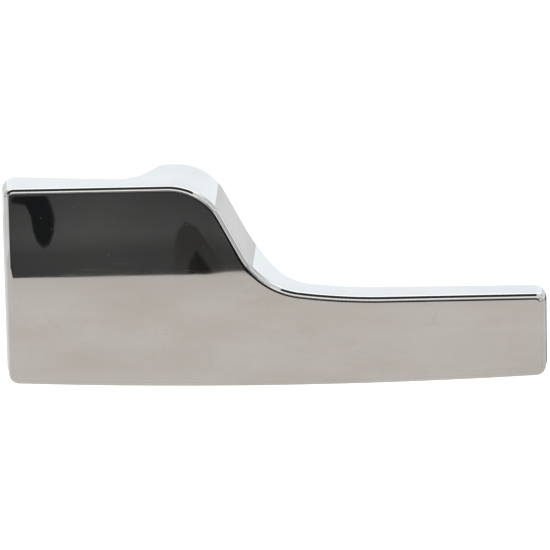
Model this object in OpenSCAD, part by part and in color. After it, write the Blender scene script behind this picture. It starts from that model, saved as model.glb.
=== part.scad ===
// Front-mount flush lever for a cistern: a chromed cast handle on a spindle that turns in a
// threaded sleeve through the cistern wall, with its washers, nut, return spring and stop.
// Origin on the spindle axis at the wall's outer face.
// +X points to the arm's tip, +Y into the cistern and +Z up.

/* [Handle outline] */
// Distance from the spindle axis to the left edge
left_reach = 36.3; // [34:0.1:40]
// Distance from the spindle axis to the arm's tip
arm_reach = 62.1; // [58:0.1:75]
// Height of the wide part's top edge above the axis
wide_top = 24; // [23:0.1:26]
// Height of the arm's top edge above the axis
arm_top = 2.7; // [1.5:0.1:4]
// Depth of the bottom edge below the axis, at its lowest point
bottom_drop = 13.8; // [13.5:0.1:15]
// Place along X of the bottom edge's lowest point
bottom_low_x = 16.6; // [5:0.2:25]
// Radius of the bowed bottom edge
bottom_bow_r = 1050; // [800:50:2000]
// Radius of the four outer corners
corner_r = 1.9; // [1.85:0.05:2.5]
// Place along X where the top edge starts to fall
shoulder_x = -6.6; // [-8:0.1:-6]
// Radius of the S-curve below the top edge
shoulder_r = 11.2; // [10:0.1:13]
// Slope of the S-curve's steep stretch, in degrees
steep_angle = 62; // [58:0.5:64]
// Radius of the S-curve above the arm
throat_r = 13.6; // [13:0.1:16]
// Radius of the soft run-out into the arm's top edge
runout_r = 112; // [100:1:140]
// Turn of the soft run-out, in degrees
runout_angle = 8; // [6:0.5:8]
// How much tighter the S-curve's upper radius is at the handle's back
shoulder_tighter = 2.9; // [0:0.1:3]
// How much wider the S-curve's lower radius is at the handle's back
throat_wider = 3.6; // [0:0.1:4]

/* [Handle depth] */
// Distance from the cistern wall to the front face
face_stand_off = 19.2; // [19:0.1:21]
// Distance from the cistern wall to the back of the neck
neck_stand_off = 5; // [5:0.05:5.1]
// Thickness of the wide part at its left edge
left_depth = 8.1; // [7:0.1:8.5]
// Least thickness of the wide part, beside the neck
waist_depth = 5.3; // [5:0.1:6]
// Place along X of the wide part's least thickness
waist_x = -16; // [-17:0.1:-15.5]
// Thickness of the arm beside the neck
arm_depth = 6.1; // [5.5:0.1:6.5]
// Place along X where the arm's back meets the neck's flank
arm_root_x = 20; // [19:0.1:22]
// Thickness of the arm at its tip
tip_depth = 5.2; // [5:0.1:6]
// Radius of the hollow between the wide part and the neck
left_hollow_r = 6; // [5.5:0.1:6.5]
// Slope of the neck's flank on the wide part's side, in degrees
left_flank_angle = 63; // [60:1:66]
// Radius of the neck's edge on the wide part's side
left_edge_r = 2.2; // [1.5:0.1:2.5]
// Radius of the hollow between the neck and the arm
right_hollow_r = 9; // [8:0.5:10]
// Slope of the neck's flank on the arm's side, in degrees
right_flank_angle = 48; // [46:1:52]
// Radius of the neck's edge on the arm's side
right_edge_r = 3; // [2:0.5:3.5]
// Draft of the side walls, in degrees
draft = 5.8; // [4:0.1:6]
// Thickness of the cast walls
cast_wall = 1.8; // [1.5:0.05:1.8]
// Thickness of the cast face
cast_face = 2; // [1.8:0.1:2.2]
// Thickness of the ribs behind the face
rib_t = 1.3; // [1:0.1:1.6]

/* [Spindle] */
// Width across flats of the square shank in the handle
shank_af = 7; // [6.5:0.1:7]
// Length of the square shank
shank_len = 10; // [9:0.1:10.2]
// Diameter of the journal
journal_d = 10; // [10:0.1:10.2]
// Diameter of the seat for the lift arm
seat_d = 8; // [7:0.1:8]
// Height of the seat's flat above the axis
seat_flat = 3; // [2.9:0.05:3]
// Reach of the spindle into the cistern
spindle_reach = 50; // [48:1:60]

/* [Sleeve and clamp] */
// Diameter of the sleeve's thread and shoulder
sleeve_d = 16; // [16:0.1:16.4]
// Pitch of the thread
pitch = 1.5; // [1.5:0.25:1.5]
// Reach of the sleeve into the cistern
sleeve_reach = 26; // [26:0.5:27]
// Diameter of the sleeve's flange
flange_d = 23; // [22.6:0.1:23]
// Space left for the cistern wall
wall_gap = 6; // [6:0.1:6.5]
// Width across flats of the lock nut
nut_af = 20; // [19.8:0.1:21]
// Thickness of the lock nut
nut_t = 6; // [5:0.1:6.5]

/* [Return and stop] */
// Travel of the handle between its stops, in degrees
travel = 30; // [20:1:32]
// Diameter of the spring wire
wire_d = 0.9; // [0.7:0.05:0.9]
// Turns of the return spring
spring_turns = 4; // [3:1:4]
// Radius of the circle that the stop pin stands on
stop_r = 9.6; // [9.5:0.05:9.7]
// Diameter of the stop pin
stop_d = 2.2; // [2:0.1:2.2]

/* [Hidden] */
$fn = 72;

chrome_tint = [0.80, 0.82, 0.84];
steel_tint = [0.62, 0.63, 0.65];
brass_tint = [0.78, 0.62, 0.32];
nylon_tint = [0.90, 0.89, 0.84];
rubber_tint = [0.13, 0.13, 0.14];

face_y = -face_stand_off;
neck_y = -neck_stand_off;
gap = 0.05;
far = 60;

// Rim steps of the face: distance behind the face, and distance in from the outer edge
rim_steps = [[0, 1.05], [0.12, 0.88], [0.35, 0.75], [0.42, 0.32], [0.55, 0.1], [0.8, 0]];

washer_t = 0.5;
flange_front = neck_y + 2 * gap + washer_t;
gasket_t = 2;
neck_relief_d = sleeve_d - 0.8;
thread_depth = 0.9;
bush_bore_d = journal_d + 0.1;
bush_d = 12;
bush_flange_d = 14;
bush_flange_t = 1.2;
front_barrel_len = 9;
rear_barrel_len = 9;
rear_flange_t = 1.4;

spring_r = 6.2;
spring_start = sleeve_reach + rear_flange_t + 0.6;
spring_pitch = wire_d + 0.08;
spring_end = spring_start + spring_turns * spring_pitch;
leg_len = 1.7;
leg_bend_r = 0.9;
leg_hole_d = wire_d + 0.3;
front_leg_angle = 90;

collar_y = spring_end + wire_d / 2 + gap;
collar_t = 2.5;
collar_d = 14.4;
clip_t = 0.9;
clip_d = 12;
clip_groove_d = 6.4;
clip_y = collar_y + collar_t + 0.1;
spindle_shoulder_y = collar_y - gap;

stop_clear = 0.3;
stop_slot_depth = 2.6;
stop_pin_bury = 2;

screw_d = 4;
screw_len = 8;
screw_pitch = 0.7;
screw_y = neck_y - shank_len / 2;

wide_pocket_x = waist_x + 2;
arm_pocket_x = arm_root_x - 2;
neck_pocket_z = stop_r + stop_d / 2 + stop_clear + 1.8;
neck_pocket_half = 4.8;

function polar(r, a) = [r * cos(a), r * sin(a)];
function arc_points(c, r, a0, a1, steps) =
    [for (i = [0:steps]) c + polar(r, a0 + (a1 - a0) * i / steps)];

// Centres of the outline's arcs, each tangent to its neighbours
inner_bow_r = bottom_bow_r - corner_r;
bow_z = bottom_bow_r - bottom_drop;
left_x = corner_r - left_reach;
tip_x = arm_reach - corner_r;
c_bow = [bottom_low_x, bow_z];
c_bottom_left = [left_x, bow_z - sqrt(pow(inner_bow_r, 2) - pow(left_x - bottom_low_x, 2))];
c_bottom_tip = [tip_x, bow_z - sqrt(pow(inner_bow_r, 2) - pow(tip_x - bottom_low_x, 2))];
bow_start = 270 + asin((left_x - bottom_low_x) / inner_bow_r);
bow_end = 270 + asin((tip_x - bottom_low_x) / inner_bow_r);
c_shoulder = [shoulder_x, wide_top - shoulder_r];
shoulder_end = c_shoulder + polar(shoulder_r, 90 - steep_angle);
runout_start_z = arm_top + runout_r * (1 - cos(runout_angle));
throat_z = runout_start_z + throat_r * cos(runout_angle);
steep_drop = shoulder_end[1] - throat_z + throat_r * cos(steep_angle);
throat_x = shoulder_end[0] + steep_drop / tan(steep_angle) + throat_r * sin(steep_angle);
c_throat = [throat_x, throat_z];
c_runout = c_throat + polar(throat_r - runout_r, 270 - runout_angle);

// Each arc: centre, radius, +1 where it bulges out or -1 where it cuts in, start, end, steps.
// The S-curve's radii change with depth, 0 at the rim and 1 at the back.
function outline_arcs(depth) = let (
    tighter = shoulder_tighter * depth,
    wider = throat_wider * depth,
    throat_half = (steep_angle - runout_angle) / 2,
    shoulder_c = c_shoulder + polar(tighter / cos(steep_angle / 2), 90 - steep_angle / 2),
    throat_c = c_throat + polar(wider / cos(throat_half), 90 - runout_angle - throat_half),
    slide = wider * tan(throat_half) / runout_r * 180 / PI
) [
    [[left_x, wide_top - corner_r], corner_r, 1, 90, 180, 6],
    [c_bottom_left, corner_r, 1, 180, bow_start, 6],
    [c_bow, bottom_bow_r, 1, bow_start, bow_end, 8],
    [c_bottom_tip, corner_r, 1, bow_end, 360, 6],
    [[tip_x, arm_top - corner_r], corner_r, 1, 0, 90, 6],
    [c_runout, runout_r, -1, 270, 270 - runout_angle + slide, 3],
    [throat_c, throat_r + wider, -1, 270 - runout_angle, 270 - steep_angle, 10],
    [shoulder_c, shoulder_r - tighter, 1, 90 - steep_angle, 90, 10]
];

// The outline moved outwards by d
function outline(d, depth = 0) =
    [for (a = outline_arcs(depth)) for (p = arc_points(a[0], a[1] + a[2] * d, a[3], a[4], a[5])) p];

// Closed skin over rings of equal length, its ends fanned from the two points in ends
module skin(rings, ends) {
    n = len(rings[0]);
    last = len(rings) - 1;
    tip = n * (last + 1);
    sides = [
        for (k = [0:last - 1]) for (i = [0:n - 1])
            [k * n + i, k * n + (i + 1) % n, (k + 1) * n + (i + 1) % n, (k + 1) * n + i]
    ];
    first_cap = [for (i = [0:n - 1]) [tip, (i + 1) % n, i]];
    last_cap = [for (i = [0:n - 1]) [tip + 1, last * n + i, last * n + (i + 1) % n]];
    polyhedron(
        points = concat([for (r = rings) each r], ends),
        faces = concat(sides, first_cap, last_cap),
        convexity = 6
    );
}

// A flat shape in X and Z, made solid from y0 to y1
module slab(y0, y1) {
    translate([0, y1, 0]) rotate([90, 0, 0]) linear_extrude(y1 - y0) children();
}

// A profile of radius and Y, turned about the spindle axis
module turned(profile) {
    rotate([-90, 0, 0]) rotate_extrude() polygon(profile);
}

module ring(d_out, d_in, y0, y1, edge = 0) {
    r0 = d_in / 2;
    r1 = d_out / 2;
    turned([
        [r0, y0], [r1 - edge, y0], [r1, y0 + edge], [r1, y1 - edge], [r1 - edge, y1], [r0, y1]
    ]);
}

module rod(d, y0, y1) {
    translate([0, y0, 0]) rotate([-90, 0, 0]) cylinder(d = d, h = y1 - y0);
}

// Crests and roots of a thread, from y0 over a number of turns
function thread_profile(r, depth, p, y0, turns) = [
    for (i = [0:turns - 1]) each [
        [r, y0 + (i + 0.12) * p],
        [r - depth, y0 + (i + 0.47) * p],
        [r - depth, y0 + (i + 0.6) * p],
        [r, y0 + (i + 0.95) * p]
    ]
];

// Handle ------------------------------------------------------------------------------

module handle_form() {
    back_y = neck_y + 1;
    rim_back = face_y + rim_steps[len(rim_steps) - 1][0];
    rim = [for (s = rim_steps) [for (p = outline(-s[1])) [p[0], face_y + s[0], p[1]]]];
    back = [for (p = outline((back_y - rim_back) * tan(draft), 1)) [p[0], back_y, p[1]]];
    skin(concat(rim, [back]), [[0, face_y, 0], [0, back_y, 0]]);
}

// Flank of the neck, seen from above: side is -1 towards the wide part and +1 towards the arm.
// A hollow of radius r from foot, a straight slope, then an edge of radius edge_r at the neck's back.
// The hollow starts lead degrees before its foot.
function flank(foot, r, angle, edge_r, side, lead = 0) = let (
    hollow_c = foot + [0, r],
    slope_start = hollow_c + r * [-side * sin(angle), -cos(angle)],
    slope_rise = neck_y - edge_r * (1 - cos(angle)) - slope_start[1],
    slope_end = slope_start + slope_rise * [-side / tan(angle), 1],
    edge_c = slope_end + edge_r * [-side * sin(angle), -cos(angle)]
) concat(
    arc_points(hollow_c, r, 270 + side * lead, 270 - side * angle, 10),
    arc_points(edge_c, edge_r, 90 - side * angle, 90, 6)
);

// Plan of the handle's thickness, seen from above
module depth_plan() {
    waist = [waist_x, face_y + waist_depth];
    root = [arm_root_x, face_y + arm_depth];
    back_fall = atan((left_depth - waist_depth) / (left_reach + waist_x));
    left = flank(waist, left_hollow_r, left_flank_angle, left_edge_r, -1, back_fall);
    right = flank(root, right_hollow_r, right_flank_angle, right_edge_r, 1);
    polygon(concat(
        [[-far, face_y - 1], [-far, face_y + left_depth], [-left_reach, face_y + left_depth]],
        left,
        [for (i = [len(right) - 1:-1:0]) right[i]],
        [[arm_reach, face_y + tip_depth], [arm_reach + 9, face_y + tip_depth], [far + 20, face_y - 1]]
    ));
}

module cast_pockets() {
    slab(face_y + cast_face, neck_y + 1) difference() {
        intersection() {
            polygon(outline(-cast_wall));
            union() {
                translate([-far, -far]) square([far + wide_pocket_x, 2 * far]);
                translate([arm_pocket_x, -far]) square([far, 2 * far]);
            }
        }
        translate([-far, (wide_top - bottom_drop) / 2]) square([far, rib_t]);
        for (x = [34.5, 48]) {
            translate([x, -far]) square([rib_t, 2 * far]);
        }
    }
    slab(neck_y - shank_len, neck_y + 1) intersection() {
        polygon(outline(-cast_wall));
        translate([-neck_pocket_half, neck_pocket_z]) square([2 * neck_pocket_half, far]);
    }
}

// Curved slot that the stop pin runs in
module stop_slot() {
    width = stop_d + 2 * stop_clear;
    play = (stop_clear - 0.1) / stop_r * 180 / PI;
    slab(neck_y - stop_slot_depth, neck_y + 1) {
        difference() {
            intersection() {
                circle(r = stop_r + width / 2);
                polygon(concat(
                    [[0, 0]],
                    arc_points([0, 0], 2 * stop_r, 90 + play, 90 + travel - play, 4)
                ));
            }
            circle(r = stop_r - width / 2);
        }
        for (a = [90 + play, 90 + travel - play]) {
            translate(polar(stop_r, a)) circle(d = width);
        }
    }
}

module handle() {
    socket = shank_af + 0.1;
    color(chrome_tint) difference() {
        intersection() {
            handle_form();
            translate([0, 0, -far]) linear_extrude(2 * far) depth_plan();
        }
        cast_pockets();
        stop_slot();
        translate([-socket / 2, neck_y - shank_len - 0.2, -socket / 2])
            cube([socket, shank_len + 1, socket]);
        translate([0, screw_y, -far]) cylinder(d = screw_d + 0.1, h = far);
    }
}

// Spindle and what it carries -----------------------------------------------------------

module spindle() {
    chamfer = 0.5;
    groove = clip_t + 0.1;
    seat_r = seat_d / 2;
    color(brass_tint) {
        translate([-shank_af / 2, neck_y - shank_len, -shank_af / 2])
            cube([shank_af, shank_len + 0.01, shank_af]);
        rod(journal_d, neck_y, spindle_shoulder_y);
        difference() {
            turned([
                [0, spindle_shoulder_y - 0.01],
                [seat_r, spindle_shoulder_y - 0.01],
                [seat_r, clip_y - 0.05],
                [clip_groove_d / 2, clip_y - 0.05],
                [clip_groove_d / 2, clip_y - 0.05 + groove],
                [seat_r, clip_y - 0.05 + groove],
                [seat_r, spindle_reach - chamfer],
                [seat_r - chamfer, spindle_reach],
                [0, spindle_reach]
            ]);
            translate([-seat_d, spindle_shoulder_y, seat_flat]) cube([2 * seat_d, far, seat_d]);
        }
    }
}

module set_screw() {
    turns = floor(screw_len / screw_pitch) - 1;
    r = screw_d / 2;
    top = -shank_af / 2 - gap;
    color(steel_tint) translate([0, screw_y, top - screw_len]) difference() {
        rotate_extrude() polygon(concat(
            [[0, 0], [r - 0.4, 0]],
            thread_profile(r, 0.35, screw_pitch, screw_pitch / 2, turns),
            [[r - 0.6, screw_len], [0, screw_len]]
        ));
        translate([0, 0, -1]) cylinder(d = 2 / cos(30), h = 3, $fn = 6);
    }
}

module spring_collar() {
    bore = seat_d + 0.1;
    color(steel_tint) difference() {
        ring(collar_d, 1, collar_y, collar_y + collar_t, 0.3);
        slab(collar_y - 1, collar_y + collar_t + 1) intersection() {
            circle(d = bore);
            translate([-bore, -2 * bore]) square([2 * bore, 2 * bore + seat_flat + gap]);
        }
        leg_hole(rear_leg_angle, collar_y - 1, collar_y + collar_t - 0.4);
    }
}

module e_clip() {
    lug_w = 2.2;
    mouth = 4.6;
    color(steel_tint) slab(clip_y, clip_y + clip_t) difference() {
        union() {
            difference() {
                circle(d = clip_d);
                circle(d = clip_d - 3);
            }
            for (a = [-20, 90, 200]) {
                rotate(a) translate([clip_groove_d / 2, -lug_w / 2]) square([2, lug_w]);
            }
        }
        circle(d = clip_groove_d + 0.1);
        translate([-mouth / 2, -clip_d]) square([mouth, clip_d - 3]);
    }
}

// Sleeve through the cistern wall -------------------------------------------------------

module mounting_sleeve() {
    r = sleeve_d / 2;
    turns = floor((sleeve_reach - wall_gap - 0.5) / pitch);
    counterbore_y = flange_front + bush_flange_t;
    color(brass_tint) difference() {
        turned(concat(
            [
                [bush_flange_d / 2 + gap, flange_front],
                [flange_d / 2 - 0.5, flange_front],
                [flange_d / 2, flange_front + 0.5],
                [flange_d / 2, -gasket_t],
                [neck_relief_d / 2, -gasket_t],
                [neck_relief_d / 2, 0],
                [r, 0]
            ],
            thread_profile(r, thread_depth, pitch, wall_gap, turns),
            [
                [r - 0.4, sleeve_reach],
                [bush_d / 2, sleeve_reach],
                [bush_d / 2, counterbore_y],
                [bush_flange_d / 2 + gap, counterbore_y]
            ]
        ));
        translate([0, 0, stop_r]) rod(stop_d + 0.04, flange_front - 1, flange_front + stop_pin_bury);
    }
}

module front_gasket() {
    color(rubber_tint) ring(flange_d, sleeve_d + 0.4, -gasket_t, 0, 0.25);
}

// A flanged bush: its barrel ends at barrel_y, and its flange runs from seat_y out to face_y
module bush(barrel_y, seat_y, face_y) {
    turned([
        [bush_bore_d / 2, barrel_y],
        [bush_d / 2 - 0.02, barrel_y],
        [bush_d / 2 - 0.02, seat_y],
        [bush_flange_d / 2, seat_y],
        [bush_flange_d / 2, face_y],
        [bush_bore_d / 2, face_y]
    ]);
}

module front_bush() {
    seat_y = flange_front + bush_flange_t;
    color(nylon_tint) bush(seat_y + front_barrel_len, seat_y, flange_front);
}

module rear_bush() {
    flange_back = sleeve_reach + rear_flange_t;
    color(nylon_tint) difference() {
        bush(sleeve_reach - rear_barrel_len, sleeve_reach, flange_back);
        leg_hole(front_leg_angle, sleeve_reach + 0.2, flange_back + 1);
    }
}

module thrust_washer() {
    washer_d = 2 * (stop_r - stop_d / 2 - stop_clear) - 0.8;
    color(nylon_tint)
        ring(washer_d, journal_d + 0.3, neck_y + gap, flange_front - gap);
}

module stop_pin() {
    tip_y = neck_y - stop_slot_depth + 0.5;
    color(steel_tint) translate([0, 0, stop_r])
        rod(stop_d, tip_y, flange_front + stop_pin_bury - gap);
}

// Return spring -------------------------------------------------------------------------

bend_turn = leg_bend_r / spring_r * 180 / PI;
rear_leg_angle = front_leg_angle + 2 * bend_turn + 360 * spring_turns;

module leg_hole(angle, y0, y1) {
    spot = polar(spring_r, angle);
    translate([spot[0], 0, spot[1]]) rod(leg_hole_d, y0, y1);
}

// Places on the spring's wire: turn about the axis, Y, and slope of the wire towards Y
function leg_bend(turn0, y0, way) = [
    for (s = [0:4]) let (a = way > 0 ? s * 22.5 : 90 - s * 22.5, lead = leg_bend_r * (1 - cos(a)))
        way > 0
            ? [turn0 + lead / spring_r * 180 / PI, y0 - leg_bend_r * (1 - sin(a)), 90 - a]
            : [turn0 - lead / spring_r * 180 / PI, y0 + leg_bend_r * (1 - sin(a)), 90 - a]
];
function spring_path() = let (
    coil_start = front_leg_angle + bend_turn,
    coil_turn = 360 * spring_turns,
    steps = 20 * spring_turns
) concat(
    [[front_leg_angle, spring_start - leg_len, 90]],
    leg_bend(front_leg_angle, spring_start, 1),
    [
        for (i = [1:steps - 1]) let (share = i / steps)
            [coil_start + coil_turn * share, spring_start + (spring_end - spring_start) * share, 3]
    ],
    leg_bend(rear_leg_angle, spring_end, -1),
    [[rear_leg_angle, spring_end + leg_len, 90]]
);

function wire_centre(p) = [spring_r * cos(p[0]), p[1], spring_r * sin(p[0])];
function wire_ring(p) = let (
    out = [cos(p[0]), 0, sin(p[0])],
    round = [-sin(p[0]), 0, cos(p[0])],
    across = cos(p[2]) * [0, 1, 0] - sin(p[2]) * round
) [for (a = [0:45:315]) wire_centre(p) + wire_d / 2 * (cos(a) * out + sin(a) * across)];

module return_spring() {
    path = spring_path();
    color(steel_tint) skin(
        [for (p = path) wire_ring(p)],
        [wire_centre(path[0]), wire_centre(path[len(path) - 1])]
    );
}

// Clamp inside the cistern --------------------------------------------------------------

seal_t = 2;
clamp_t = 1;
clamp_bore_d = sleeve_d + 0.6;

module rear_seal_washer() {
    color(rubber_tint) ring(22, clamp_bore_d, wall_gap + gap, wall_gap + gap + seal_t, 0.25);
}

module clamp_washer() {
    y0 = wall_gap + 2 * gap + seal_t;
    color(steel_tint) ring(21.6, clamp_bore_d, y0, y0 + clamp_t, 0.1);
}

module lock_nut() {
    y0 = wall_gap + 3 * gap + seal_t + clamp_t;
    corner_d = nut_af / cos(30);
    color(brass_tint) intersection() {
        difference() {
            slab(y0, y0 + nut_t) circle(d = corner_d, $fn = 6);
            rod(sleeve_d + 0.16, y0 - 1, y0 + nut_t + 1);
        }
        turned([
            [0, y0], [corner_d / 2 - 0.9, y0], [corner_d / 2 + 0.2, y0 + 0.65],
            [corner_d / 2 + 0.2, y0 + nut_t - 0.65], [corner_d / 2 - 0.9, y0 + nut_t], [0, y0 + nut_t]
        ]);
    }
}

handle();
spindle();
set_screw();
spring_collar();
e_clip();
thrust_washer();
mounting_sleeve();
front_gasket();
front_bush();
rear_bush();
stop_pin();
return_spring();
rear_seal_washer();
clamp_washer();
lock_nut();
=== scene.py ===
"""Looks of a front-mount cistern flush lever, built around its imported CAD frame.

Metres throughout, in the CAD frame: the origin is on the spindle axis at the wall's outer face,
+X points to the arm's tip, +Y into the cistern and +Z up. Profiles are written in millimetres.
"""

import math

import bmesh
import bpy
import numpy as np
from mathutils import Matrix, Vector


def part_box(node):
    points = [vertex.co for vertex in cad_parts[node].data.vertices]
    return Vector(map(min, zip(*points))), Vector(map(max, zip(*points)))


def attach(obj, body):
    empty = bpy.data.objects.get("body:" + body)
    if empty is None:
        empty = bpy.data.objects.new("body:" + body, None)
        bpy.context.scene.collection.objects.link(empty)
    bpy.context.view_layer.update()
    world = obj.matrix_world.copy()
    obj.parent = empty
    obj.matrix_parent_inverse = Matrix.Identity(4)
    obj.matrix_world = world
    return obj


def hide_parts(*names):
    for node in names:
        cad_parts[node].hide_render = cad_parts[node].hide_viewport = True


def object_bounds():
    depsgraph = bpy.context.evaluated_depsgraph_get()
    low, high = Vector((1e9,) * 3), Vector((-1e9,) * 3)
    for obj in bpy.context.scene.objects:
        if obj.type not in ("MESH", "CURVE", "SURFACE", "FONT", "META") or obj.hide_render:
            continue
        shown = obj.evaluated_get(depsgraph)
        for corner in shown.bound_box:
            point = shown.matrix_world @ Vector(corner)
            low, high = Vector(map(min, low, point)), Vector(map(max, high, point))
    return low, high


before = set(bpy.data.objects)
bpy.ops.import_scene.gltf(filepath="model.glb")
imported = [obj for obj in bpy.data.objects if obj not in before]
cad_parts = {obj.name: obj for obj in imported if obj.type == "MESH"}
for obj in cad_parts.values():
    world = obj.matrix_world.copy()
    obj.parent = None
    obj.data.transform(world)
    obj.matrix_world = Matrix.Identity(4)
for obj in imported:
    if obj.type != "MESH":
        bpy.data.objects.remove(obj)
cad_low, cad_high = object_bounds()

MM = 0.001


def depths(node):
    """Y of a CAD node's front and back, in millimetres."""
    return [corner.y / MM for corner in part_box(node)]


face_y, neck_y = depths("handle")


# Mesh helpers ------------


def unit(vectors):
    """Vectors scaled to a length of 1."""
    return vectors / np.linalg.norm(vectors, axis=-1, keepdims=True)


def rounded(corners, closed=False, steps=5):
    """A profile through corners (u, v) or (u, v, radius), with an arc at each radius."""
    count = len(corners)
    points = []
    for i, corner in enumerate(corners):
        here = np.array(corner[:2], float)
        radius = corner[2] if len(corner) > 2 else 0
        at_end = not closed and i in (0, count - 1)
        if radius == 0 or at_end:
            points.append(here)
            continue
        before = unit(np.array(corners[i - 1][:2]) - here)
        after = unit(np.array(corners[(i + 1) % count][:2]) - here)
        half = math.acos(np.clip(before @ after, -1, 1)) / 2
        centre = here + unit(before + after) * radius / math.sin(half)
        start = here + before * radius / math.tan(half) - centre
        end = here + after * radius / math.tan(half) - centre
        sweep = math.atan2(start[0] * end[1] - start[1] * end[0], start @ end)
        aside = np.array([-start[1], start[0]])
        for a in np.arange(steps + 1) * sweep / steps:
            points.append(centre + math.cos(a) * start + math.sin(a) * aside)
    return np.array(points)


def skin_faces(rings, around, wrap):
    """Quads between rings of equal length; wrap joins the last ring to the first."""
    faces = []
    for k in range(rings if wrap else rings - 1):
        a = k * around
        b = (k + 1) % rings * around
        for i in range(around):
            j = (i + 1) % around
            faces.append((a + i, a + j, b + j, b + i))
    if not wrap:
        faces.append(tuple(range(around))[::-1])
        faces.append(tuple((rings - 1) * around + i for i in range(around)))
    return faces


def add_object(name, data):
    """A new object in the scene."""
    obj = bpy.data.objects.new(name, data)
    bpy.context.scene.collection.objects.link(obj)
    return obj


def make_mesh(name, points, faces, material):
    """A mesh from points in millimetres, its faces turned outwards."""
    mesh = bpy.data.meshes.new(name)
    mesh.from_pydata((np.asarray(points, float) * MM).tolist(), [], faces)
    mesh.materials.append(material)
    mesh.validate()
    shape = bmesh.new()
    shape.from_mesh(mesh)
    if shape.calc_volume(signed=True) < 0:
        mesh.flip_normals()
    shape.free()
    return add_object(name, mesh)


def skin(name, rings, material, wrap=False):
    """A closed mesh over rings, an array of ring, point and coordinate."""
    rings = np.asarray(rings, float)
    faces = skin_faces(rings.shape[0], rings.shape[1], wrap)
    return make_mesh(name, rings.reshape(-1, 3), faces, material)


def settle(obj, sharp=32):
    """Smooth shading with crisp edges above an angle, and normals that follow the large faces."""
    obj.data.shade_smooth()
    obj.data.set_sharp_from_angle(angle=math.radians(sharp))
    weighted = obj.modifiers.new("normals", "WEIGHTED_NORMAL")
    weighted.keep_sharp = True
    weighted.weight = 100
    return bake(obj)


def bake(obj):
    """Applies the modifiers, so that the mesh itself is the piece's shape."""
    bpy.context.view_layer.update()
    graph = bpy.context.evaluated_depsgraph_get()
    baked = bpy.data.meshes.new_from_object(obj.evaluated_get(graph))
    obj.modifiers.clear()
    obj.data = baked
    return obj


def cut(obj, cutter):
    """Takes a closed cutter out of a piece; the cut faces keep the cutter's material."""
    modifier = obj.modifiers.new("cut", "BOOLEAN")
    modifier.operation = "DIFFERENCE"
    modifier.solver = "EXACT"
    modifier.material_mode = "TRANSFER"
    modifier.object = cutter
    bake(obj)
    bpy.data.objects.remove(cutter)


def stand_in(obj, node, body):
    """The piece is shown in place of a CAD node, on its body."""
    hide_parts(node)
    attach(obj, body)


def turn_angles(count, extra=()):
    """Angles round a turned piece, with a few exact ones added, in radians."""
    even = np.arange(count) * 360 / count
    return np.radians(np.unique(np.append(even, extra)))


def flat_ring(loop, y):
    """A loop of (x, z) placed at a depth, which may differ from point to point."""
    return np.stack([loop[:, 0], np.broadcast_to(y, len(loop)), loop[:, 1]], 1)


def upright_rings(rings, y, z):
    """Rings about the spindle axis, stood up along Z at a depth and from a height."""
    return [np.stack([-ring[:, 0], y + ring[:, 2], z + ring[:, 1]], 1) for ring in rings]


def prism(name, loop, y0, y1, material):
    """A straight solid over a loop of (x, z), used to cut holes."""
    return skin(name, [flat_ring(loop, y) for y in (y0, y1)], material)


def circle_ring(radius, y, angles):
    """A ring about the spindle axis; its radius and depth may differ from point to point."""
    return flat_ring(np.stack([radius * np.cos(angles), radius * np.sin(angles)], 1), y)


def turned(profile, angles):
    """Rings about the spindle axis, one for each (radius, y) of a profile."""
    return [circle_ring(r, y, angles) for r, y in profile]


def lathe(name, profile, material, hole=None):
    """A ring turned from a closed profile of (radius, y), with the hole that a cutter leaves."""
    obj = skin(name, turned(profile, turn_angles(128)), material, wrap=True)
    if hole is not None:
        cut(obj, hole)
    return settle(obj)


# Materials ------------


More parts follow.
